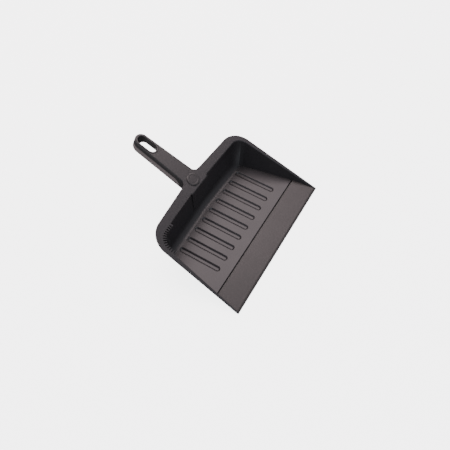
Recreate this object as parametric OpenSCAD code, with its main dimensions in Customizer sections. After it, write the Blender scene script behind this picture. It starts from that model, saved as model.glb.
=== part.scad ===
/* [Pan] */
// Width across the front edge
pan_w = 311; // [280:1:340]
// Length from the front edge to the middle of the back rim, seen from above
pan_l = 196; // [180:1:215]
// Width the pan would have at the back if its corners were sharp
back_w = 288; // [270:1:300]
// How far the middle of the back rim stands out behind its ends
back_bow = 9; // [4:0.5:12]
// Outer radius of the two back corners of the rim
rim_r = 38; // [30:1:42]
// Angle at which the rim rises from front to back
rim_angle = 23; // [20:0.5:26]
// Thickness of the rim flange
rim_t = 3; // [2.5:0.1:3.5]
// Thickness of the walls and the floor
wall = 3; // [2.5:0.1:3]
// Height of the floor's upper face
floor_z = 6.5; // [6:0.1:7]

/* [Inner walls] */
// Distance from the middle to the foot of a side wall, carried forward to the front edge
side_foot = 154; // [152:0.5:154.5]
// How much each side wall comes in per millimetre towards the back
side_taper = 0.195; // [0.18:0.005:0.21]
// How much each side wall leans outwards per millimetre of height
side_lean = 0.22; // [0.18:0.01:0.24]
// Distance from the front edge to the foot of the back wall, at the middle
back_foot = 174; // [170:0.5:174.5]
// How much the back wall leans backwards per millimetre of height
back_lean = 0.04; // [0.02:0.01:0.06]
// How much the back wall comes forward per millimetre away from the middle
back_sweep = 0.035; // [0.02:0.005:0.04]
// Radius of the two upright inner corners
inner_r = 26; // [20:1:28]
// Radius of the rounded foot of the back wall
cove_r = 16; // [12:1:16]
// Number of flat strips that make the rounded foot
cove_n = 4; // [2:1:4]

/* [Channels] */
// Number of channels in the floor
channel_n = 9; // [5:2:9]
// Distance between neighbouring channels
channel_pitch = 25.5; // [22:0.5:25.5]
// Width of a channel
channel_w = 10.4; // [7:0.1:11]
// Distance from the front edge to the front end of the channels
channel_front = 70; // [66:0.5:80]
// Distance from the front edge to the back end of the channels
channel_back = 157; // [145:0.5:157]

/* [Comb] */
// Number of slits in the comb
comb_n = 14; // [8:1:14]
// Distance between neighbouring slits
comb_pitch = 4.4; // [4.2:0.1:5]
// Width of a slit at its open end
comb_slit = 2.7; // [2:0.1:3.2]
// Width of a slit at the rim
comb_slit_root = 2.1; // [0.8:0.1:2.4]
// Length of the teeth
comb_tooth = 5.5; // [4:0.1:6]
// Distance from the middle of the pan to the first slit
comb_start = 99; // [95:1:102]

/* [Front lip] */
// Depth of the lip strip from front to back
lip_l = 50.5; // [46:0.5:54]
// Thickness of the lip strip's front edge
lip_edge = 1.4; // [1.2:0.1:1.6]
// Height of the lip strip's back edge
lip_back_z = 7.6; // [7.3:0.1:8]
// Thickness of the lip strip over its shelf
lip_t = 1.9; // [1.7:0.1:2.1]
// Depth of the bevel along the front edge
lip_bevel = 4.5; // [3:0.5:6]
// Width of the open joint behind the lip strip
joint_gap = 2.2; // [1:0.1:2.4]

/* [Handle] */
// Distance from the front edge to the centre of the handle's round tip, seen from above
tip_y = 297; // [287:1:300]
// Half the handle's width at its round tip
tip_half = 12.7; // [12.5:0.1:13.5]
// Half the handle's width where it leaves the rim
root_half = 16.3; // [15.5:0.1:17]
// Upright depth of the handle
handle_h = 21.5; // [20.5:0.5:23]
// Upright depth of the upper shell's sides
upper_h = 9.5; // [8.5:0.5:11]
// How much the handle's sides lean outwards per millimetre downwards
handle_lean = 0.17; // [0.1:0.01:0.2]
// Angle by which the round tip leans back towards its foot
tip_tilt = 12; // [6:1:14]
// Thickness of the two handle shells
shell_t = 2.5; // [2:0.1:2.8]
// Radius of the two fillets between the handle and the back rim
root_fillet = 12; // [8:1:14]

/* [Hang slot] */
// Length of the slot inside its eyelet
slot_l = 36.4; // [30:0.2:37]
// Width of the slot inside its eyelet
slot_w = 16.6; // [14:0.2:17.6]
// Thickness of the eyelet's wall
eyelet_t = 1.4; // [1.2:0.1:1.6]
// How far the eyelet's rim reaches past its wall
eyelet_rim = 1.4; // [1:0.1:1.5]
// Upright depth of the eyelet below the handle's upper face
eyelet_h = 16.5; // [12:0.5:18]
// How far the opening in the lower shell reaches past the eyelet's own opening
window_rim = 3.2; // [2.5:0.1:3.4]

/* [Root fastening] */
// Diameter of the round cap over the screw
cap_d = 25; // [22:1:27]
// Height of the cap above the rim
cap_h = 1.8; // [1.2:0.1:2.2]
// Distance from the front edge to the cap's centre, seen from above
cap_y = 188.5; // [187.5:0.5:189]
// Width of the step in the rim at the handle's root
pad_w = 52; // [48:1:56]
// How far the step reaches into the pan
pad_step = 3.5; // [2.5:0.5:4]
// Thickness of the rim over the step
pad_t = 6; // [5.5:0.5:6]
// Diameter of the root screw's shank
screw_d = 5; // [4:0.5:5]

/* [Hidden] */
$fn = 48;
// Sizes that are only there to reach past the whole pan
big = 900;
tall = 200;
// Running and fitting clearances
fit_gap = 0.1;
free_gap = 0.3;
// How far solids that join, and cuts that go through, reach into or past each other
overlap = 1;
// The rim plane: height above the ground per millimetre from the front edge
rise = tan(rim_angle);
function rim_z(y) = lip_edge + rise * y;
// Upright thickness of a layer that lies in the rim plane
function upright(t) = t / cos(rim_angle);
// Distance along the rim plane from the front edge
function along(y) = y / cos(rim_angle);
// Outline of the rim, seen from above
outer_taper = (pan_w - back_w) / 2 / pan_l;
back_y = pan_l - back_bow;
// Handle: how much each side narrows per millimetre, and its half width at a distance y
handle_taper = (root_half - tip_half) / (tip_y - pan_l);
function half_at(y) = tip_half + handle_taper * (tip_y - y);
// How much smaller the round tip starts than the flat sides, so that they meet at an edge
tip_ease = 0.05;
// Length of the round tip's slanted end, and the whole length to that end's lower edge
tip_top = tip_half - tip_ease;
tip_turn = sin(tip_tilt) - rise * cos(tip_tilt);
tip_len = (handle_h + tip_top * tip_turn) / (cos(tip_tilt) + rise * sin(tip_tilt) - handle_lean * tip_turn);
total_l = tip_y + (tip_top + handle_lean * tip_len) * cos(tip_tilt) + tip_len * sin(tip_tilt);
slot_y = tip_y - 12;
slot_half = slot_w / 2;
// Lip: upper face as height per millimetre, and the underside of the part over its shelf
lip_rise = (lip_back_z - lip_edge) / lip_l;
shelf_front = 16;
function lip_z(y) = lip_edge + lip_rise * y;
function shelf_z(y) = lip_z(y) - lip_t;
// Thickness of the upright rib behind the tongue
nose_rib = 6;
tongue_w = 4.4;
tongue_h = 3.4;
// Height of the lip's front face, below its bevel
lip_nose = 0.6;
// Channels: depth of the recess, and how much wider the bead under it is
channel_depth = 2.4;
bead_extra = 3.2;
// Length over which the upper shell's sides sweep down to the root, and the radius they follow
sweep_l = 25;
sweep_r = 34;
// How far the sweep and the root fillets start inside the faces they run into, so that they meet at an edge
sweep_bite = 1;
fillet_bite = 0.3;
// How much larger the upright corners are than a round that only touches both walls
corner_bite = 0.1;
neck_l = 4;
bead_h = 0.9;
// How far the comb's teeth reach into the rim
comb_root = 1;
// Fastenings
screw_head_d = 9.4;
screw_head_h = 2.6;
cap_sink = 1.2;
cap_bevel = 0.7;
washer_t = 1;
washer_d = 12;
nut_h = 4;
nut_d = 9.2;
tongue_n = upper_h * cos(rim_angle);
screw_l = tongue_n - cap_sink + washer_t + nut_h + overlap;
small_d = 3;
small_head_d = 6;
small_head_h = 2;
boss_d = 7.5;
seat_d = 9.5;
// Height of a small screw's seat above the handle's lower face, and how far its end stays below the top plate
seat_h = 5;
end_gap = 1;
small_y = [tip_y - 42, tip_y - 80];

function unit(v) = v / norm(v);
// Outward directions of the basin's right side wall and the right half of its back wall
side_n = unit([1, side_taper, -side_lean]);
back_n = unit([back_sweep, 1, -back_lean]);
// Foot of a wall moved outwards by g
function side_x(g) = side_foot + g * norm([1, side_taper, -side_lean]);
function back_at(g) = back_foot + g * norm([back_sweep, 1, -back_lean]);
// Where the side and back wall feet cross on the floor, moved outwards by g
function corner_y(g) = (back_at(g) - back_sweep * side_x(g)) / (1 - back_sweep * side_taper);
function corner_foot(g) = [side_x(g) - side_taper * corner_y(g), corner_y(g), floor_z];
// Distance from the front edge to the rim's inner edge, at the middle of the back
inner_back_y = (back_foot + back_lean * (lip_edge - floor_z)) / (1 - back_lean * rise);

// Moves the model so that its origin is under the middle of its outline
module placed() { translate([0, -total_l / 2, 0]) children(); }

// Frame that lies in the rim plane, with its origin in the front edge
module in_rim_plane() { translate([0, 0, lip_edge]) rotate([rim_angle, 0, 0]) children(); }

// Everything on the inner side of the plane through p with the outward direction n
module half_space(p, n) {
    translate(p)
        rotate([0, -asin(n.z), atan2(n.y, n.x)])
            translate([-big, -big / 2, -big / 2])
                cube(big);
}

// Everything between two upright depths under the rim plane
module rim_layer(top, bottom) {
    in_rim_plane()
        translate([-big / 2, -big / 2, -bottom * cos(rim_angle)])
            cube([big, big, (bottom - top) * cos(rim_angle)]);
}

// Both sides: the children and their mirror image
module both() {
    children();
    mirror([1, 0, 0]) children();
}

module oblong(l, w) {
    square([w, l - w], center = true);
    for (e = [-1, 1])
        translate([0, e * (l - w) / 2])
            circle(d = w);
}

// Outline of the rim seen from above, with its two round back corners
module rim_outline() {
    edge_in = [-outer_taper, 1] / norm([outer_taper, 1]);
    back_in = [back_w / 2, -back_bow] / norm([back_w / 2, back_bow]);
    corner = [back_w / 2, back_y];
    to_front = -edge_in;
    to_apex = [-back_in.x, -back_in.y];
    turn = acos(to_front * to_apex);
    tangent = rim_r / tan(turn / 2);
    centre = corner + unit(to_front + to_apex) * rim_r / sin(turn / 2);
    a = corner + to_front * tangent;
    b = corner + to_apex * tangent;
    polygon([[pan_w / 2, 0], a, b, [0, pan_l], [-b.x, b.y], [-a.x, a.y], [-pan_w / 2, 0]]);
    for (side = [-1, 1])
        translate([side * centre.x, centre.y])
            circle(rim_r, $fn = 96);
}

// Space between the walls, right half: side wall and back wall moved outwards by g, with a round corner
module well_half(g) {
    r = inner_r + g;
    axis_foot = corner_foot(g - r);
    m = unit(side_n + back_n);
    dir = unit(cross(side_n, back_n));
    up = dir.z > 0 ? dir : -dir;
    intersection() {
        half_space([side_x(g), 0, floor_z], side_n);
        half_space([0, back_at(g), floor_z], back_n);
        union() {
            half_space(axis_foot + m * r * (m * side_n), m);
            translate(axis_foot - up * tall / 4)
                rotate([0, acos(up.z), atan2(up.y, up.x)])
                    cylinder(r = r + corner_bite, h = tall, $fn = 96);
        }
        translate([-overlap, -tall, -tall])
            cube(big);
    }
}

// Space between the walls above the height z
module basin(g, z) {
    intersection() {
        both() well_half(g);
        translate([-big / 2, -big / 2, z])
            cube(big);
    }
}

// Rounded foot of the right half of the back wall, made of flat strips that touch its arc
module cove_half() {
    wall_in = -unit([back_n.x, back_n.y, 0]);
    axis = [0, back_foot, floor_z] + (wall_in + [0, 0, 1]) * cove_r;
    intersection() {
        well_half(wall / 2);
        union()
            for (i = [1 : cove_n]) {
                a = 90 * i / (cove_n + 1);
                m = -wall_in * sin(a) - [0, 0, cos(a)];
                half_space(axis + m * cove_r, -m);
            }
        translate([-overlap, 0, floor_z - wall / 2]) cube(big);
    }
}

// Point and direction on the rim's inner left edge, at a distance d from the comb's first slit
comb_h = rim_z(corner_foot(-inner_r).y) - floor_z;
comb_c = [corner_foot(-inner_r).x + side_lean * comb_h, corner_foot(-inner_r).y + back_lean * comb_h];
comb_back = comb_c.x - comb_start;
comb_arc = inner_r * PI / 2;
function comb_turn(d) = d < comb_back ? 0 : min(90, (d - comb_back) / inner_r * 180 / PI);
function comb_at(d) =
    d < comb_back ? [-comb_start - d, comb_c.y + inner_r]
    : d < comb_back + comb_arc
        ? [-comb_c.x - inner_r * sin(comb_turn(d)), comb_c.y + inner_r * cos(comb_turn(d))]
    : [-comb_c.x - inner_r, comb_c.y - (d - comb_back - comb_arc)];

// Teeth round the back left corner, on the inner edge of the rim
module comb() {
    length = comb_pitch * comb_n;
    difference() {
        intersection() {
            rim_layer(0, upright(rim_t));
            mirror([1, 0, 0])
                difference() {
                    well_half(comb_root);
                    well_half(-comb_tooth);
                }
            translate([-pan_w / 2, comb_at(length).y, 0])
                cube([pan_w / 2 - comb_start + comb_pitch / 2, pan_l, tall]);
        }
        for (i = [0 : comb_n - 1])
            translate(comb_at(comb_pitch * (i + 0.5)))
                rotate(comb_turn(comb_pitch * (i + 0.5)))
                    linear_extrude(tall)
                        polygon([[-comb_slit_root / 2, 2 * comb_root], [comb_slit_root / 2, 2 * comb_root],
                                 [comb_slit_root / 2, 0], [comb_slit / 2, -comb_tooth],
                                 [comb_slit / 2, -2 * comb_tooth], [-comb_slit / 2, -2 * comb_tooth],
                                 [-comb_slit / 2, -comb_tooth], [-comb_slit_root / 2, 0]]);
    }
}

// Everything between two distances from the front edge
module y_range(y1, y2) {
    translate([-big / 2, y1, -big / 2])
        cube([big, y2 - y1, big]);
}

module rim_prism() {
    linear_extrude(tall) rim_outline();
}

// Thicker part of the rim under the handle's root, and the flat pier below it on the back wall
module root_pad() {
    front = inner_back_y - pad_step;
    intersection() {
        rim_prism();
        union() {
            intersection() {
                rim_layer(0, upright(pad_t));
                translate([-pad_w / 2, front, 0]) cube([pad_w, pan_l, tall]);
            }
            intersection() {
                rim_layer(0, tall);
                translate([-pad_w / 2, front, floor_z - wall]) cube([pad_w, pad_step + wall, tall]);
            }
        }
    }
}

module channel_row(w, z, h) {
    for (i = [0 : channel_n - 1])
        translate([(i - (channel_n - 1) / 2) * channel_pitch, (channel_front + channel_back) / 2, z])
            linear_extrude(h)
                oblong(channel_back - channel_front + w - channel_w, w);
}

// Solid nose under the lip strip, with the groove for the strip's tongue
module lip_shelf() {
    translate([-big / 2, 0, 0])
        rotate([90, 0, 90])
            linear_extrude(big)
                polygon([[shelf_front, 0], [shelf_front, shelf_z(shelf_front)],
                         [lip_l - tongue_w, shelf_z(lip_l - tongue_w)],
                         [lip_l - tongue_w, shelf_z(lip_l) - tongue_h],
                         [lip_l, shelf_z(lip_l) - tongue_h], [lip_l, floor_z],
                         [lip_l + nose_rib, floor_z], [lip_l + nose_rib, 0]]);
}

// Flange, walls and floor, before the channels and holes
module tray_shell() {
    difference() {
        intersection() {
            rim_prism();
            union() {
                rim_layer(0, upright(rim_t));
                intersection() {
                    rim_layer(0, tall);
                    basin(wall, 0);
                    union() {
                        y_range(0, lip_l);
                        translate([-big / 2, 0, floor_z - wall]) cube(big);
                    }
                }
            }
        }
        basin(0, floor_z);
        intersection() {
            basin(0, -overlap);
            y_range(-overlap, lip_l);
        }
    }
}

module pan_tray() {
    color("#4d4648")
    placed()
    difference() {
        union() {
            tray_shell();
            intersection() {
                both() cove_half();
                rim_layer(0, tall);
            }
            comb();
            root_pad();
            channel_row(channel_w + bead_extra, 0, floor_z - fit_gap);
            intersection() {
                lip_shelf();
                basin(wall / 2, 0);
            }
        }
        channel_row(channel_w, floor_z - channel_depth, channel_depth + overlap);
        translate([-big / 2, -big / 2, -big]) cube(big);
        in_rim_plane() translate([0, along(cap_y), 0]) {
            translate([0, 0, -pad_t - overlap]) cylinder(d = screw_d + free_gap, h = pad_t);
            translate([0, 0, -cap_sink]) cylinder(d = cap_d + 2 * fit_gap, h = cap_sink + overlap);
            translate([0, 0, -cap_sink - screw_head_h])
                cylinder(d1 = screw_d + free_gap, d2 = screw_head_d + free_gap, h = screw_head_h);
        }
    }
}

module front_lip() {
    color("#57504f")
    placed()
    intersection() {
        translate([-big / 2, 0, 0])
            rotate([90, 0, 90])
                linear_extrude(big)
                    polygon([[0, 0], [0, lip_nose], [lip_bevel, lip_z(lip_bevel)],
                             [lip_l - joint_gap, lip_z(lip_l - joint_gap)],
                             [lip_l - joint_gap, shelf_z(lip_l) - tongue_h + fit_gap],
                             [lip_l - tongue_w + fit_gap, shelf_z(lip_l) - tongue_h + fit_gap],
                             [lip_l - tongue_w + fit_gap, shelf_z(lip_l - tongue_w)],
                             [shelf_front - fit_gap, shelf_z(shelf_front)],
                             [shelf_front - fit_gap, 0]]);
        basin(-fit_gap, -overlap);
    }
}

// The handle's outer shape moved inwards by g, between two upright depths under the rim plane
module handle_body(g, top, bottom) {
    n = unit([1, handle_taper - handle_lean * rise, handle_lean]);
    z = rim_z(tip_y);
    intersection() {
        union() {
            intersection() {
                half_space([tip_half - g, tip_y, z], n);
                half_space([g - tip_half, tip_y, z], [-n.x, n.y, n.z]);
                y_range(cap_y - cap_d, big);
                translate([0, tip_y, z])
                    rotate([tip_tilt, 0, 0])
                        translate([-big / 2, -big, -big / 2]) cube(big);
            }
            translate([0, tip_y, z])
                rotate([tip_tilt, 0, 0])
                    translate([0, 0, -2 * handle_h])
                        cylinder(r1 = tip_top - g + handle_lean * 2 * handle_h,
                                 r2 = tip_top - g - handle_lean * 2 * handle_h, h = 4 * handle_h, $fn = 96);
        }
        rim_layer(top, bottom);
    }
}

// Fillet between the handle's right side and the back rim
module root_corner() {
    x = half_at(pan_l + root_fillet) + root_fillet - fillet_bite;
    y = pan_l - back_bow / (back_w / 2) * x + root_fillet - fillet_bite;
    intersection() {
        rim_layer(0, upper_h);
        linear_extrude(tall)
            difference() {
                translate([0, pan_l - back_bow]) square([x, y - pan_l + back_bow]);
                translate([x, y]) circle(root_fillet);
            }
    }
}

// Everything in front of the lower shell's round front end, seen from the side
module sweep_outline() {
    difference() {
        translate([along(pan_l - sweep_r), -sweep_r])
            square([along(sweep_r + sweep_l), sweep_r - tongue_n]);
        translate([along(pan_l + sweep_l), sweep_bite - tongue_n - sweep_r])
            circle(sweep_r, $fn = 96);
    }
}

// The lower shell's own stretch, seen from the side
module lower_outline() {
    translate([along(pan_l + sweep_l), sweep_bite - tongue_n - sweep_r])
        circle(sweep_r, $fn = 96);
    translate([along(pan_l + sweep_l), -2 * sweep_r])
        square([along(total_l), 2 * sweep_r]);
}

// A side outline in the rim plane's frame, carried right across the handle
module across() {
    in_rim_plane()
        translate([-big / 2, 0, 0])
            rotate([90, 0, 90])
                linear_extrude(big) children();
}

// Inside of the handle, below the upper shell's plate and behind its front wall
module handle_hollow(bottom) {
    difference() {
        handle_body(shell_t, upright(shell_t), bottom);
        basin(wall + fit_gap + shell_t, -overlap);
        intersection() {
            rim_layer(0, upper_h);
            y_range(0, pan_l + neck_l);
        }
    }
}

// Upright opening for the hang slot, w wider than the eyelet's own opening
module slot_hole(w) {
    translate([0, slot_y, 0])
        linear_extrude(tall)
            oblong(slot_l + w, slot_w + w);
}

module upright_rod(y, d) {
    translate([0, y, 0])
        cylinder(d = d, h = tall);
}

module handle_upper_shell() {
    color("#4b4446")
    placed()
    difference() {
        union() {
            difference() {
                union() {
                    handle_body(0, 0, upper_h);
                    intersection() {
                        handle_body(0, 0, handle_h);
                        across() sweep_outline();
                    }
                    both() root_corner();
                }
                handle_hollow(tall);
            }
            for (y = small_y)
                intersection() {
                    upright_rod(y, boss_d);
                    rim_layer(upright(overlap), upper_h);
                }
        }
        intersection() {
            rim_prism();
            rim_layer(-tall, upright(pad_t));
        }
        basin(wall + fit_gap, -overlap);
        slot_hole(2 * eyelet_t + 2 * fit_gap);
        for (y = small_y)
            intersection() {
                upright_rod(y, small_d + fit_gap);
                rim_layer(upright(shell_t), tall);
            }
        in_rim_plane()
            translate([0, along(cap_y), -2 * upper_h]) cylinder(d = screw_d + free_gap, h = 2 * upper_h);
    }
}

module handle_lower_shell() {
    color("#6a6163")
    placed()
    difference() {
        union() {
            intersection() {
                difference() {
                    handle_body(0, upper_h, handle_h);
                    handle_hollow(handle_h - upright(shell_t));
                }
                across() lower_outline();
            }
            for (y = small_y)
                intersection() {
                    upright_rod(y, seat_d);
                    rim_layer(upper_h, handle_h);
                }
        }
        slot_hole(2 * window_rim);
        for (y = small_y) {
            upright_rod(y, small_d + free_gap);
            translate([0, y, 0])
                cylinder(d = small_head_d + free_gap, h = small_seat(y));
        }
    }
}

// Height of the seat of a small screw's head
function small_seat(y) = rim_z(y) - handle_h + seat_h;

module slot_eyelet() {
    color("#5a5254")
    placed()
    difference() {
        union() {
            intersection() {
                slot_hole(2 * eyelet_t);
                rim_layer(0, eyelet_h);
            }
            intersection() {
                slot_hole(2 * (eyelet_t + eyelet_rim));
                rim_layer(-upright(bead_h), 0);
            }
        }
        slot_hole(0);
    }
}

module roundel_cap() {
    color("#514a4c")
    placed() in_rim_plane()
        translate([0, along(cap_y), -cap_sink]) {
            cylinder(d = cap_d, h = cap_sink + cap_h - cap_bevel);
            translate([0, 0, cap_sink + cap_h - cap_bevel])
                cylinder(d1 = cap_d, d2 = cap_d - 2 * cap_bevel, h = cap_bevel);
        }
}

module root_screw() {
    color("#9a9a9c")
    placed() in_rim_plane()
        translate([0, along(cap_y), -cap_sink]) {
            translate([0, 0, -screw_head_h])
                cylinder(d1 = screw_d, d2 = screw_head_d, h = screw_head_h - fit_gap);
            translate([0, 0, -screw_l])
                cylinder(d = screw_d, h = screw_l - screw_head_h);
        }
}

module root_washer() {
    color("#a8a8aa")
    placed() in_rim_plane()
        translate([0, along(cap_y), -tongue_n - washer_t])
            difference() {
                cylinder(d = washer_d, h = washer_t);
                translate([0, 0, -overlap]) cylinder(d = screw_d + free_gap, h = washer_t + 2 * overlap);
            }
}

module root_nut() {
    color("#a0a0a2")
    placed() in_rim_plane()
        translate([0, along(cap_y), -tongue_n - washer_t - nut_h])
            difference() {
                cylinder(d = nut_d, h = nut_h, $fn = 6);
                translate([0, 0, -overlap]) cylinder(d = screw_d + fit_gap, h = nut_h + 2 * overlap);
            }
}

module shell_screws() {
    color("#9a9a9c")
    placed()
        for (y = small_y)
            translate([0, y, small_seat(y)]) {
                translate([0, 0, -small_head_h]) cylinder(d = small_head_d, h = small_head_h);
                cylinder(d = small_d, h = rim_z(y) - upright(shell_t) - end_gap - small_seat(y));
            }
}

pan_tray();
front_lip();
handle_upper_shell();
handle_lower_shell();
slot_eyelet();
roundel_cap();
root_screw();
root_washer();
root_nut();
shell_screws();
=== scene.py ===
"""Charcoal hand dustpan on a pale floor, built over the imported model."""

import math

import bmesh
import bpy
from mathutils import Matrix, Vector


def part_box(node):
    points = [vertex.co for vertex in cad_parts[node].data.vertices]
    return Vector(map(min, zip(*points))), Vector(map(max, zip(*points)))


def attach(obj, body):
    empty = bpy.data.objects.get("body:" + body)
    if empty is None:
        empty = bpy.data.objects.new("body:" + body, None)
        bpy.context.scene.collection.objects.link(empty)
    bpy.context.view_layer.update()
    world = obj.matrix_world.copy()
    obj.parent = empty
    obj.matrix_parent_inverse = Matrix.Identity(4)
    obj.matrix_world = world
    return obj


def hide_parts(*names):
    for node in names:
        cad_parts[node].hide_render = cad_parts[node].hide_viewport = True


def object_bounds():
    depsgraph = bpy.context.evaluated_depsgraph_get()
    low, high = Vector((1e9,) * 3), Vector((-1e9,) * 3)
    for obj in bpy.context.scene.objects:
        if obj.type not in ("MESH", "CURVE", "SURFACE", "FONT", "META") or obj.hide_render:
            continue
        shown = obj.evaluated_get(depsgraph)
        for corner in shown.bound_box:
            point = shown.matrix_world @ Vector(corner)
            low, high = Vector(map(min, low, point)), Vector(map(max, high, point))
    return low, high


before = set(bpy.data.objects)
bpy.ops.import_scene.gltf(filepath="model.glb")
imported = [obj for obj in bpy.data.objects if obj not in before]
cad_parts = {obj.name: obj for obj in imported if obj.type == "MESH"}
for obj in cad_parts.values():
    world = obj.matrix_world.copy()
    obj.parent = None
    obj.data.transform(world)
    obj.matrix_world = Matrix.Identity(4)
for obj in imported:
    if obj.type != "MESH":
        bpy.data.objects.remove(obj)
cad_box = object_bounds()


# ---------------------------------------------------------------- shared effects

def new_group(name, inputs, outputs):
    group = bpy.data.node_groups.new(name, "ShaderNodeTree")
    for label, kind, value in inputs:
        socket = group.interface.new_socket(label, in_out="INPUT", socket_type=kind)
        if value is not None:
            socket.default_value = value
    for label, kind in outputs:
        group.interface.new_socket(label, in_out="OUTPUT", socket_type=kind)
    return group, group.nodes.new("NodeGroupInput"), group.nodes.new("NodeGroupOutput")


def moulded_skin_group():
    """Fine spark-eroded texture and the slow unevenness that a moulded skin has."""
    group, given, result = new_group(
        "moulded skin",
        [("Position", "NodeSocketVector", None), ("Grain", "NodeSocketFloat", 1400.0)],
        [("Height", "NodeSocketFloat"), ("Mottle", "NodeSocketFloat")],
    )
    nodes, links = group.nodes, group.links
    fine = nodes.new("ShaderNodeTexNoise")
    fine.inputs["Detail"].default_value = 3.0
    fine.inputs["Roughness"].default_value = 0.6
    slow = nodes.new("ShaderNodeTexNoise")
    slow.inputs["Scale"].default_value = 22.0
    slow.inputs["Detail"].default_value = 4.0
    slow.inputs["Roughness"].default_value = 0.55
    links.new(given.outputs["Position"], fine.inputs["Vector"])
    links.new(given.outputs["Position"], slow.inputs["Vector"])
    links.new(given.outputs["Grain"], fine.inputs["Scale"])
    links.new(fine.outputs["Fac"], result.inputs["Height"])
    links.new(slow.outputs["Fac"], result.inputs["Mottle"])
    return group


def sweeping_marks_group():
    """Faint fine scratches along the way that dirt slides."""
    group, given, result = new_group(
        "sweeping marks",
        [("Position", "NodeSocketVector", None), ("Amount", "NodeSocketFloat", 0.5)],
        [("Marks", "NodeSocketFloat")],
    )
    nodes, links = group.nodes, group.links
    stretch = nodes.new("ShaderNodeMapping")
    stretch.inputs["Scale"].default_value = (900.0, 14.0, 300.0)
    stretch.inputs["Rotation"].default_value = (0.0, 0.0, math.radians(7.0))
    streaks = nodes.new("ShaderNodeTexNoise")
    streaks.inputs["Scale"].default_value = 1.0
    streaks.inputs["Detail"].default_value = 2.0
    thin = nodes.new("ShaderNodeMapRange")
    thin.inputs["From Min"].default_value = 0.62
    thin.inputs["From Max"].default_value = 0.78
    patches = nodes.new("ShaderNodeTexNoise")
    patches.inputs["Scale"].default_value = 31.0
    both = nodes.new("ShaderNodeMath")
    both.operation = "MULTIPLY"
    scaled = nodes.new("ShaderNodeMath")
    scaled.operation = "MULTIPLY"
    links.new(given.outputs["Position"], stretch.inputs["Vector"])
    links.new(stretch.outputs["Vector"], streaks.inputs["Vector"])
    links.new(streaks.outputs["Fac"], thin.inputs["Value"])
    links.new(given.outputs["Position"], patches.inputs["Vector"])
    links.new(thin.outputs["Result"], both.inputs[0])
    links.new(patches.outputs["Fac"], both.inputs[1])
    links.new(both.outputs["Value"], scaled.inputs[0])
    links.new(given.outputs["Amount"], scaled.inputs[1])
    links.new(scaled.outputs["Value"], result.inputs["Marks"])
    return group


MOULDED_SKIN = moulded_skin_group()
SWEEPING_MARKS = sweeping_marks_group()


# ---------------------------------------------------------------- materials

PLASTIC_GRAIN = 1400.0
ZINC_GRAIN = 2600.0
RUBBED = 1.9
SHEEN_SPREAD = 0.05

# Depths of the grain in the plastics
COARSE = 0.00006
MIDDLING = 0.00005
FINE = 0.00003


def moulded_plastic(name, dark, light, rough, grain_depth, marks):
    """Charcoal moulded plastic: colour between dark and light, satin, with a fine grain."""
    material = bpy.data.materials.new(name)
    material.use_nodes = True
    nodes, links = material.node_tree.nodes, material.node_tree.links
    shader = nodes["Principled BSDF"]
    place = nodes.new("ShaderNodeTexCoord")
    skin = nodes.new("ShaderNodeGroup")
    skin.node_tree = MOULDED_SKIN
    skin.inputs["Grain"].default_value = PLASTIC_GRAIN
    scuffs = nodes.new("ShaderNodeGroup")
    scuffs.node_tree = SWEEPING_MARKS
    scuffs.inputs["Amount"].default_value = marks
    links.new(place.outputs["Object"], skin.inputs["Position"])
    links.new(place.outputs["Object"], scuffs.inputs["Position"])

    shade = nodes.new("ShaderNodeMix")
    shade.data_type = "RGBA"
    shade.inputs[6].default_value = (*dark, 1.0)
    shade.inputs[7].default_value = (*light, 1.0)
    links.new(skin.outputs["Mottle"], shade.inputs["Factor"])
    rubbed = nodes.new("ShaderNodeMix")
    rubbed.data_type = "RGBA"
    rubbed.inputs[7].default_value = (*(part * RUBBED for part in light), 1.0)
    links.new(shade.outputs[2], rubbed.inputs[6])
    links.new(scuffs.outputs["Marks"], rubbed.inputs["Factor"])
    links.new(rubbed.outputs[2], shader.inputs["Base Color"])

    sheen = nodes.new("ShaderNodeMapRange")
    sheen.inputs["To Min"].default_value = rough - SHEEN_SPREAD
    sheen.inputs["To Max"].default_value = rough + SHEEN_SPREAD
    links.new(skin.outputs["Mottle"], sheen.inputs["Value"])
    links.new(sheen.outputs["Result"], shader.inputs["Roughness"])

    bump = nodes.new("ShaderNodeBump")
    bump.inputs["Strength"].default_value = 0.35
    bump.inputs["Distance"].default_value = grain_depth
    links.new(skin.outputs["Height"], bump.inputs["Height"])
    links.new(bump.outputs["Normal"], shader.inputs["Normal"])
    return material


def zinc_plated_steel():
    material = bpy.data.materials.new("zinc plated steel")
    material.use_nodes = True
    nodes, links = material.node_tree.nodes, material.node_tree.links
    shader = nodes["Principled BSDF"]
    shader.inputs["Metallic"].default_value = 1.0
    place = nodes.new("ShaderNodeTexCoord")
    skin = nodes.new("ShaderNodeGroup")
    skin.node_tree = MOULDED_SKIN
    skin.inputs["Grain"].default_value = ZINC_GRAIN
    links.new(place.outputs["Object"], skin.inputs["Position"])
    tone = nodes.new("ShaderNodeMix")
    tone.data_type = "RGBA"
    tone.inputs[6].default_value = (0.42, 0.42, 0.44, 1.0)
    tone.inputs[7].default_value = (0.62, 0.62, 0.61, 1.0)
    links.new(skin.outputs["Mottle"], tone.inputs["Factor"])
    links.new(tone.outputs[2], shader.inputs["Base Color"])
    sheen = nodes.new("ShaderNodeMapRange")
    sheen.inputs["To Min"].default_value = 0.24
    sheen.inputs["To Max"].default_value = 0.42
    links.new(skin.outputs["Mottle"], sheen.inputs["Value"])
    links.new(sheen.outputs["Result"], shader.inputs["Roughness"])
    bump = nodes.new("ShaderNodeBump")
    bump.inputs["Strength"].default_value = 0.2
    bump.inputs["Distance"].default_value = FINE
    links.new(skin.outputs["Height"], bump.inputs["Height"])
    links.new(bump.outputs["Normal"], shader.inputs["Normal"])
    return material


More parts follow.
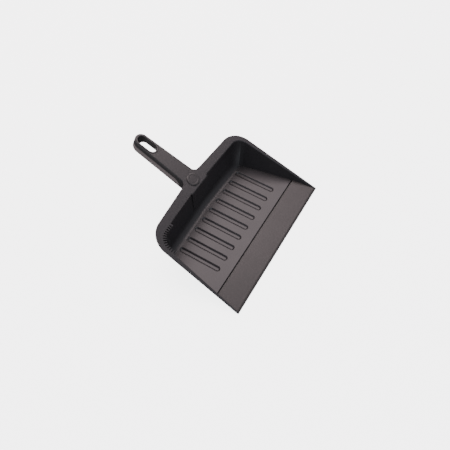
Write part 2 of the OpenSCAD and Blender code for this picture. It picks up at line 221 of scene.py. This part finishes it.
TRAY = moulded_plastic("tray plastic", dark=(0.020, 0.0175, 0.019), light=(0.028, 0.025, 0.027),
                       rough=0.42, grain_depth=COARSE, marks=0.35)
LIP = moulded_plastic("lip plastic", dark=(0.021, 0.017, 0.017), light=(0.028, 0.0235, 0.0225),
                      rough=0.42, grain_depth=FINE, marks=0.28)
HANDLE = moulded_plastic("handle plastic", dark=(0.020, 0.0175, 0.018), light=(0.027, 0.024, 0.025),
                         rough=0.42, grain_depth=COARSE, marks=0.15)
# Painted reflection: the lower shell's base colour, about nine times lighter than the other charcoal
# plastics, stands in for the white floor mirrored and bounced onto the handle's underside.
SHELL_WITH_PAINTED_REFLECTION = moulded_plastic("lower shell plastic with painted floor reflection", dark=(0.19, 0.155, 0.150), light=(0.23, 0.19, 0.185),
                        rough=0.50, grain_depth=COARSE, marks=0.15)
EYELET = moulded_plastic("eyelet plastic", dark=(0.021, 0.018, 0.019), light=(0.028, 0.025, 0.026),
                         rough=0.34, grain_depth=FINE, marks=0.2)
CAP = moulded_plastic("cap plastic", dark=(0.020, 0.0175, 0.018), light=(0.027, 0.024, 0.025),
                      rough=0.40, grain_depth=MIDDLING, marks=0.2)
ZINC = zinc_plated_steel()


# ---------------------------------------------------------------- modelling helpers

def deselect():
    if bpy.context.object is not None and bpy.context.object.mode != "OBJECT":
        bpy.ops.object.mode_set(mode="OBJECT")
    bpy.ops.object.select_all(action="DESELECT")


def only(piece):
    deselect()
    piece.select_set(True)
    bpy.context.view_layer.objects.active = piece


# While a piece is shaped, its faces are marked as flat or as part of a rounded edge
FLAT = 0
ROUNDED = 1
WELD = 0.000002
WHOLE_ANGLE = math.radians(0.4)
SHARP_EDGE = math.radians(28.0)


def merged_copy(node, name):
    """A welded copy of a CAD node's mesh, its flat faces whole again."""
    piece = bpy.data.objects.new(name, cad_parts[node].data.copy())
    bpy.context.scene.collection.objects.link(piece)
    piece.data.materials.clear()
    for label in ("flat faces", "rounded edges"):
        piece.data.materials.append(bpy.data.materials.get(label) or bpy.data.materials.new(label))
    only(piece)
    bpy.ops.object.mode_set(mode="EDIT")
    bpy.ops.mesh.select_mode(type="VERT")
    bpy.ops.mesh.select_all(action="SELECT")
    bpy.ops.mesh.remove_doubles(threshold=WELD)
    bpy.ops.mesh.dissolve_limited(angle_limit=WHOLE_ANGLE, delimit=set())
    bpy.ops.mesh.select_all(action="DESELECT")
    bpy.ops.object.mode_set(mode="OBJECT")
    return piece


def round_edges(piece, width, segments, wanted):
    """Rounds the sharp edges that wanted(edge) picks, to the given width."""
    only(piece)
    bpy.ops.object.mode_set(mode="EDIT")
    bpy.ops.mesh.select_mode(type="EDGE")
    bpy.ops.mesh.select_all(action="DESELECT")
    shape = bmesh.from_edit_mesh(piece.data)
    for edge in shape.edges:
        if edge.is_manifold and edge.calc_face_angle(0.0) > SHARP_EDGE and wanted(edge):
            edge.select = True
    shape.select_flush_mode()
    bmesh.update_edit_mesh(piece.data)
    bpy.ops.mesh.bevel(offset=width, offset_type="OFFSET", segments=segments, affect="EDGES",
                       clamp_overlap=False, miter_outer="SHARP", material=ROUNDED)
    bpy.ops.mesh.select_all(action="DESELECT")
    bpy.ops.object.mode_set(mode="OBJECT")


def cut_across(piece, point, normal, wanted):
    """Cuts the faces that wanted(face) picks along a plane."""
    only(piece)
    bpy.ops.object.mode_set(mode="EDIT")
    bpy.ops.mesh.select_mode(type="FACE")
    bpy.ops.mesh.select_all(action="DESELECT")
    shape = bmesh.from_edit_mesh(piece.data)
    for face in shape.faces:
        face.select = wanted(face)
    bmesh.update_edit_mesh(piece.data)
    bpy.ops.mesh.bisect(plane_co=point, plane_no=normal)
    bpy.ops.mesh.select_all(action="DESELECT")
    bpy.ops.object.mode_set(mode="OBJECT")


def finish(piece, node, material, smooth=32.0):
    """Smooth shading that leaves the flat faces flat, then the material and body, and hides the CAD node."""
    shape = bmesh.new()
    shape.from_mesh(piece.data)
    for edge in shape.edges:
        kinds = {face.material_index for face in edge.link_faces}
        if len(kinds) > 1:
            edge.smooth = False
    for face in shape.faces:
        face.material_index = FLAT
    shape.to_mesh(piece.data)
    shape.free()
    only(piece)
    bpy.ops.object.shade_smooth_by_angle(angle=math.radians(smooth))
    bpy.ops.object.modifier_add(type="WEIGHTED_NORMAL")
    piece.modifiers[-1].keep_sharp = True
    bpy.ops.object.modifier_apply(modifier=piece.modifiers[-1].name)
    piece.data.materials.clear()
    piece.data.materials.append(material)
    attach(piece, "root")
    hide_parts(node)


def dress(node, material):
    """Gives a CAD node that stays in view its material."""
    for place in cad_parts[node].material_slots:
        place.material = material


# ---------------------------------------------------------------- where things are

def middle_of(node):
    low, high = (Vector(corner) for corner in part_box(node))
    return (low + high) / 2


# Heights above the ground, and distances from the front edge or from the middle line, in metres
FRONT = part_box("pan_tray")[0][1]
NEAR = 0.00006
RIM_TILT = math.radians(23.0)
RIM_START = 0.0014
RIM_DROP = 0.003 / math.cos(RIM_TILT)
HANDLE_DROP = 0.0215 / math.cos(RIM_TILT)
FLOOR_Z = 0.0065
LIP_BACK = 0.0505
BEHIND_LIP = 0.03

CHANNEL_Z = 0.0041
CHANNEL_WIDE = 0.0104
CHANNEL_LONG = 0.087
CHANNEL_AREA = CHANNEL_WIDE * (CHANNEL_LONG - CHANNEL_WIDE) + math.pi * (CHANNEL_WIDE / 2) ** 2
CHANNELS_FROM = 0.062
CHANNELS_TO = 0.1595
CHANNELS_HALF = 0.1085

COMB_MIDDLE = Vector((-0.112, FRONT + 0.147))
COMB_REACH = 0.0305
CAP_MIDDLE = middle_of("roundel_cap")
CAP_REACH = 0.0145

SLOT_MIDDLE = middle_of("slot_eyelet")
SLOT_HALF_STRAIGHT = 0.0099
SLOT_REACH = 0.0123

# The handle's root meets the rim along a shallow V, between two cuts across the rim
ROOT_CUT = 0.0278
ROOT_FROM = 0.1915
ROOT_POINT = 0.196
ROOT_SLOPE = 0.0625
BACK_FROM = 0.185


def all_ends(edge, holds):
    return all(holds(vertex.co) for vertex in edge.verts)


def rim_height(y):
    return RIM_START + math.tan(RIM_TILT) * (y - FRONT)


def on_rim(point, drop=0.0):
    return abs(point.z - rim_height(point.y) + drop) < NEAR


def at_height(point, height):
    return abs(point.z - height) < NEAR


def at_comb(point):
    return (point.xy - COMB_MIDDLE).length < COMB_REACH


def at_cap(point):
    return (point.xy - CAP_MIDDLE.xy).length < CAP_REACH


def at_root(point):
    return abs(point.x) < ROOT_CUT + NEAR and point.y > FRONT + ROOT_FROM


def on_root_line(point):
    return abs(point.y - FRONT - ROOT_POINT + ROOT_SLOPE * abs(point.x)) < 3 * NEAR


def around_slot(point):
    past = max(0.0, abs(point.y - SLOT_MIDDLE.y) - SLOT_HALF_STRAIGHT)
    return math.hypot(point.x, past) < SLOT_REACH


def among_channels(point):
    return FRONT + CHANNELS_FROM < point.y < FRONT + CHANNELS_TO and abs(point.x) < CHANNELS_HALF


# ---------------------------------------------------------------- the pan

CHANNEL_SIDE = 0.0026
CHANNEL_ROUND = 0.0007
RIM_ROUND = 0.0013
RIM_UNDER_ROUND = 0.0009
FLOOR_END_ROUND = 0.0006
UPWARD = 0.01
CHANNEL_CORNERS = 12
AREA_SPREAD = 0.2


def channel_wall_or_bed(face):
    middle = face.calc_center_median()
    return (CHANNEL_Z - NEAR < middle.z < FLOOR_Z - NEAR and among_channels(middle)
            and face.normal.z > -0.5)


def channel_mouth(face):
    return (at_height(face.calc_center_median(), FLOOR_Z) and len(face.verts) > CHANNEL_CORNERS
            and abs(face.calc_area() - CHANNEL_AREA) < AREA_SPREAD * CHANNEL_AREA)


def rim_top_or_edge(face):
    """The rim's upper face, and the upright faces at its back."""
    back = face.calc_center_median().y - FRONT
    return (back > BEHIND_LIP and abs(face.normal.z - math.cos(RIM_TILT)) < UPWARD
            or back > BACK_FROM and abs(face.normal.z) < UPWARD)


def slope_channels(piece):
    """Makes each channel again with a soft shoulder, a sloping side and a flat bed."""
    only(piece)
    bpy.ops.object.mode_set(mode="EDIT")
    bpy.ops.mesh.select_mode(type="FACE")
    bpy.ops.mesh.select_all(action="DESELECT")
    shape = bmesh.from_edit_mesh(piece.data)
    for face in shape.faces:
        face.select = channel_wall_or_bed(face)
    bmesh.update_edit_mesh(piece.data)
    bpy.ops.mesh.delete(type="FACE")
    bpy.ops.mesh.select_mode(type="EDGE")
    shape = bmesh.from_edit_mesh(piece.data)
    for edge in shape.edges:
        edge.select = edge.is_boundary
    bmesh.update_edit_mesh(piece.data)
    bpy.ops.mesh.edge_face_add()
    bpy.ops.mesh.select_mode(type="FACE")
    shape = bmesh.from_edit_mesh(piece.data)
    for face in shape.faces:
        face.select = channel_mouth(face)
    shape.select_flush_mode()
    bmesh.update_edit_mesh(piece.data)
    bpy.ops.mesh.inset(thickness=CHANNEL_SIDE, use_individual=True)
    bpy.ops.transform.translate(value=(0.0, 0.0, CHANNEL_Z - FLOOR_Z))
    bpy.ops.mesh.select_all(action="DESELECT")
    bpy.ops.object.mode_set(mode="OBJECT")
    round_edges(piece, CHANNEL_ROUND, 3, lambda edge: edge.is_convex and all_ends(
        edge, lambda point: at_height(point, FLOOR_Z) and among_channels(point)))
    round_edges(piece, CHANNEL_ROUND, 3, lambda edge: not edge.is_convex and all_ends(
        edge, lambda point: at_height(point, CHANNEL_Z)))


def pan():
    """Rim, walls and floor in one moulding, with its edges run soft."""
    piece = merged_copy("pan_tray", "pan")
    for side in (-1.0, 1.0):
        cut_across(piece, (side * ROOT_CUT, 0.0, 0.0), (1.0, 0.0, 0.0), rim_top_or_edge)
    round_edges(piece, RIM_ROUND, 3, lambda edge: edge.is_convex and not all_ends(edge, at_root)
                and all_ends(edge, lambda point: on_rim(point) and not at_comb(point) and not at_cap(point)))
    round_edges(piece, RIM_UNDER_ROUND, 2, lambda edge: edge.is_convex and not all_ends(edge, at_root)
                and all_ends(edge, lambda point: on_rim(point, RIM_DROP)))
    slope_channels(piece)
    round_edges(piece, FLOOR_END_ROUND, 2, lambda edge: edge.is_convex and all_ends(
        edge, lambda point: at_height(point, FLOOR_Z) and abs(point.y - FRONT - LIP_BACK) < NEAR))
    finish(piece, "pan_tray", TRAY)


# ---------------------------------------------------------------- lip, handle, eyelet, cap

LIP_ROUND = 0.0007
LIP_RAMP_FOOT = 0.006
HANDLE_TOP_ROUND = 0.0017
HANDLE_UNDER_ROUND = 0.0014
EYELET_ROUND = 0.0006
EYELET_BEAD_FOOT = 0.0004
CAP_RING_IN = 0.0034
CAP_RING_SLOPE = 0.0005
CAP_RING_BED = 0.0006
CAP_RING_DEEP = 0.00035


def lip():
    piece = merged_copy("front_lip", "lip_strip")
    round_edges(piece, LIP_ROUND, 3, lambda edge: edge.is_convex and all_ends(
        edge, lambda point: point.z > LIP_RAMP_FOOT))
    finish(piece, "front_lip", LIP, smooth=8.0)


def round_handle(piece, width, segments, drop):
    """Rounds a handle shell's outline where it leaves the face that lies the drop below the rim."""
    round_edges(piece, width, segments, lambda edge: edge.is_convex and not all_ends(edge, on_root_line)
                and all_ends(edge, lambda point: on_rim(point, drop) and not around_slot(point)))


def handle():
    top = merged_copy("handle_upper_shell", "handle_top")
    round_handle(top, HANDLE_TOP_ROUND, 4, 0.0)
    finish(top, "handle_upper_shell", HANDLE)
    under = merged_copy("handle_lower_shell", "handle_underside")
    round_handle(under, HANDLE_UNDER_ROUND, 3, HANDLE_DROP)
    # The underside takes the lightened plastic whose colour is painted floor reflection.
    finish(under, "handle_lower_shell", SHELL_WITH_PAINTED_REFLECTION)


def eyelet():
    piece = merged_copy("slot_eyelet", "slot_lining")
    round_edges(piece, EYELET_ROUND, 3, lambda edge: edge.is_convex and all_ends(
        edge, lambda point: point.z > rim_height(point.y) + EYELET_BEAD_FOOT))
    finish(piece, "slot_eyelet", EYELET)


def cap():
    """A disc with a shallow ring pressed into its lid."""
    piece = merged_copy("roundel_cap", "root_cap")
    only(piece)
    bpy.ops.object.mode_set(mode="EDIT")
    bpy.ops.mesh.select_mode(type="FACE")
    bpy.ops.mesh.select_all(action="DESELECT")
    shape = bmesh.from_edit_mesh(piece.data)
    lid = max((face for face in shape.faces if face.normal.z > 0.5), key=lambda face: face.calc_area())
    lid.select = True
    bmesh.update_edit_mesh(piece.data)
    down = lid.normal * -CAP_RING_DEEP
    bpy.ops.mesh.inset(thickness=CAP_RING_IN)
    bpy.ops.mesh.inset(thickness=CAP_RING_SLOPE)
    bpy.ops.transform.translate(value=down)
    bpy.ops.mesh.inset(thickness=CAP_RING_BED)
    bpy.ops.mesh.inset(thickness=CAP_RING_SLOPE)
    bpy.ops.transform.translate(value=-down)
    bpy.ops.mesh.select_all(action="DESELECT")
    bpy.ops.object.mode_set(mode="OBJECT")
    finish(piece, "roundel_cap", CAP, smooth=40.0)


pan()
lip()
handle()
eyelet()
cap()
for part in ("root_screw", "root_washer", "root_nut", "shell_screws"):
    dress(part, ZINC)


# ---------------------------------------------------------------- floor, light, camera

FLOOR_SIZE = 8.0
FLOOR_GAP = 0.0001
WHITE = (0.9, 0.9, 0.9, 1.0)
GREY = (0.22, 0.22, 0.22, 1.0)
FLOOR_GLOW = 4.0
SKY_COLOUR = (0.86, 0.92, 1.0, 1.0)
SKY_STRENGTH = 0.5
EYE_FROM_FRONT = (-0.436606, -0.150026, 0.830802)
AIM_FROM_FRONT = (0.0, 0.110, 0.020)


def pale_floor():
    """A white table that stays bright to the eye but throws back only a little light."""
    deselect()
    bpy.ops.mesh.primitive_plane_add(size=FLOOR_SIZE, location=(0.0, 0.0, -FLOOR_GAP))
    floor = bpy.context.object
    floor.name = "floor"
    material = bpy.data.materials.new("pale floor")
    material.use_nodes = True
    nodes, links = material.node_tree.nodes, material.node_tree.links
    seen = nodes["Principled BSDF"]
    seen.inputs["Base Color"].default_value = WHITE
    seen.inputs["Roughness"].default_value = 0.9
    seen.inputs["Specular IOR Level"].default_value = 0.0
    seen.inputs["Emission Color"].default_value = (1.0, 1.0, 1.0, 1.0)
    seen.inputs["Emission Strength"].default_value = FLOOR_GLOW
    bounced = nodes.new("ShaderNodeBsdfDiffuse")
    bounced.inputs["Color"].default_value = GREY
    ray = nodes.new("ShaderNodeLightPath")
    mix = nodes.new("ShaderNodeMixShader")
    links.new(ray.outputs["Is Camera Ray"], mix.inputs["Fac"])
    links.new(bounced.outputs["BSDF"], mix.inputs[1])
    links.new(seen.outputs["BSDF"], mix.inputs[2])
    links.new(mix.outputs["Shader"], nodes["Material Output"].inputs["Surface"])
    floor.data.materials.append(material)


def soft_light(name, place, target, size, power, colour):
    data = bpy.data.lights.new(name, "AREA")
    data.shape = "RECTANGLE"
    data.size, data.size_y = size
    data.energy = power
    data.color = colour
    lamp = bpy.data.objects.new(name, data)
    bpy.context.scene.collection.objects.link(lamp)
    lamp.location = place
    lamp.rotation_euler = (Vector(target) - Vector(place)).to_track_quat("-Z", "Y").to_euler()


def studio():
    pale_floor()
    soft_light("long softbox", place=(0.72, 0.58, 1.72), target=(0.0, 0.0, 0.0),
               size=(2.15, 1.3), power=45.0, colour=(1.0, 0.84, 0.85))
    soft_light("side fill", place=(-1.5, 0.6, 0.35), target=(0.0, 0.1, 0.05),
               size=(1.0, 0.5), power=3.5, colour=(0.95, 0.97, 1.0))
    soft_light("front fill", place=(-0.9, -1.0, 0.9), target=(0.0, 0.05, 0.05),
               size=(0.8, 0.8), power=5.0, colour=(0.85, 0.92, 1.0))
    world = bpy.data.worlds.new("studio")
    world.use_nodes = True
    sky = world.node_tree.nodes["Background"]
    sky.inputs["Color"].default_value = SKY_COLOUR
    sky.inputs["Strength"].default_value = SKY_STRENGTH
    bpy.context.scene.world = world


def camera():
    data = bpy.data.cameras.new("camera")
    data.lens = 40.27
    data.sensor_width = 36.0
    data.shift_x = -0.0106
    data.shift_y = -0.0211
    data.clip_start = 0.01
    eye = bpy.data.objects.new("camera", data)
    bpy.context.scene.collection.objects.link(eye)
    front_edge = Vector((0.0, cad_box[0][1], 0.0))
    eye.location = front_edge + Vector(EYE_FROM_FRONT)
    aim = front_edge + Vector(AIM_FROM_FRONT)
    eye.rotation_euler = (aim - eye.location).to_track_quat("-Z", "Y").to_euler()
    bpy.context.scene.camera = eye


studio()
camera()
